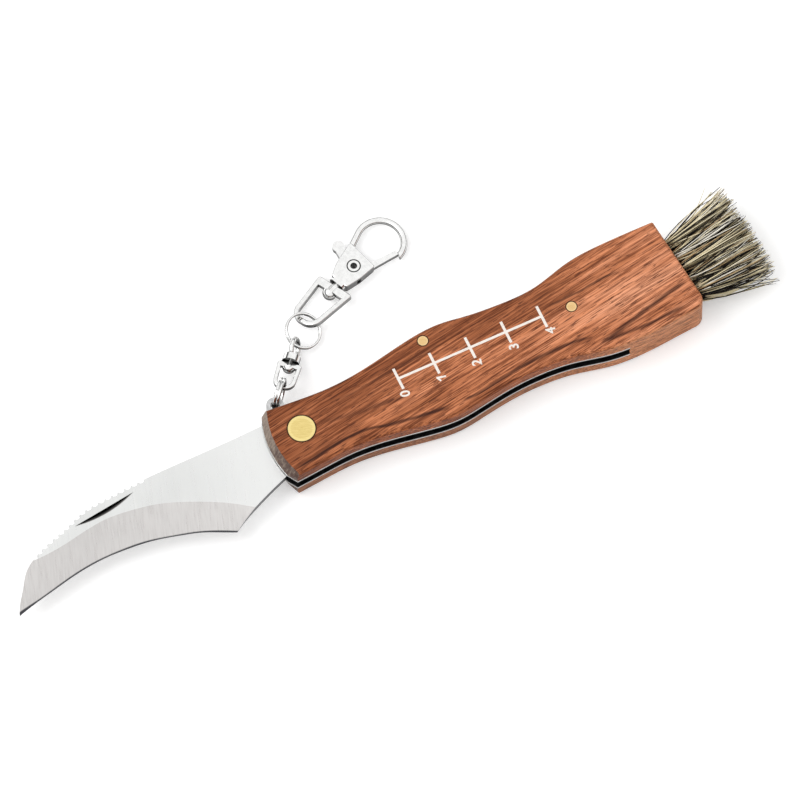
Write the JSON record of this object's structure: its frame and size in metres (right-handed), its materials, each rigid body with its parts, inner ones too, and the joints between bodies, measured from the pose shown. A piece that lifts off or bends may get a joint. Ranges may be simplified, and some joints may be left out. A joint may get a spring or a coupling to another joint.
{
  "type": "mushroom knife",
  "caption": "Folding mushroom knife with a hooked, serrated-back blade, waved wooden handle with a printed ruler, butt brush and a snap hook on a short chain.",
  "frame": {"origin": "on the handle's flat back face, in the middle of the handle's length and on the line through the blade pivot", "axes": "+X along the handle from the blade towards the brush, +Y towards the spine side where the chain hangs, +Z out of the ruler face"},
  "size_m": [0.2145, 0.0669, 0.013],
  "materials": {
    "handle_wood": "reddish brown hardwood, oiled satin",
    "brush_wood": "plain hardwood block",
    "blade_steel": "fine satin, ground bevel",
    "liner_steel": "satin",
    "rivet_brass": "satin, flush with the wood",
    "bristle_hair": "natural bristle, grey, beige and black mixed",
    "chain_chrome": "nickel-plated, bright",
    "spring_wire": "drawn wire"
  },
  "bodies": {
    "handle": {"handle_block": "handle_wood", "liner_back": "liner_steel", "liner_front": "liner_steel", "backspring": "liner_steel", "pivot_rivet": "rivet_brass", "pivot_sleeve": "rivet_brass", "middle_pin": "rivet_brass", "rear_pin": "rivet_brass", "brush_block": "brush_wood", "brush_bristles": "bristle_hair"},
    "blade": {"blade": "blade_steel"},
    "lanyard_ring": {"lanyard_ring": "chain_chrome"},
    "small_bow": {"small_swivel_bow": "chain_chrome"},
    "small_eye": {"small_swivel_eye": "chain_chrome"},
    "split_ring": {"split_ring": "chain_chrome"},
    "large_bow": {"large_swivel_bow": "chain_chrome"},
    "hook": {"hook_body": "chain_chrome", "lever_rivet": "chain_chrome", "lever_spring": "spring_wire"},
    "lever": {"hook_lever": "chain_chrome"}
  },
  "joints": [
    {"name": "blade_fold", "type": "hinge", "parent": "handle", "child": "blade", "pos_m": [-0.05, 0, 0.0065], "axis": [0, 0, 1], "range_deg": [0, 163.1]},
    {"name": "lanyard_ring_swing", "type": "hinge", "parent": "handle", "child": "lanyard_ring", "pos_m": [-0.05265, 0.01051, 0.0065], "axis": [0, 0, 1], "range_deg": [-5, 80]},
    {"name": "small_bow_swing", "type": "hinge", "parent": "lanyard_ring", "child": "small_bow", "pos_m": [-0.04774, 0.01636, 0.00541], "axis": [0, 0, 1], "range_deg": [-10, 15]},
    {"name": "small_eye_spin", "type": "hinge", "parent": "small_bow", "child": "small_eye", "pos_m": [-0.04382, 0.02086, 0.00423], "axis": [0.6212, 0.759, -0.1951], "continuous": true},
    {"name": "split_ring_swing", "type": "hinge", "parent": "small_eye", "child": "split_ring", "pos_m": [-0.03932, 0.02655, 0.0032], "axis": [0.2433, -0.2519, 0.9367], "range_deg": [-10, 15]},
    {"name": "large_bow_swing", "type": "hinge", "parent": "split_ring", "child": "large_bow", "pos_m": [-0.03341, 0.03129, 0.00295], "axis": [-0.0914, 0.2797, 0.9557], "range_deg": [-10, 15]},
    {"name": "hook_spin", "type": "hinge", "parent": "large_bow", "child": "hook", "pos_m": [-0.02402, 0.03622, 0.0024], "axis": [0.9087, 0.416, -0.0349], "continuous": true},
    {"name": "hook_lever", "type": "hinge", "parent": "hook", "child": "lever", "pos_m": [-0.01779, 0.03907, 0.00216], "axis": [0.0317, 0.0145, 0.9994], "range_deg": [0, 22], "stiffness_Nm_per_rad": 0.005, "springref_deg": -20.05}
  ]
}
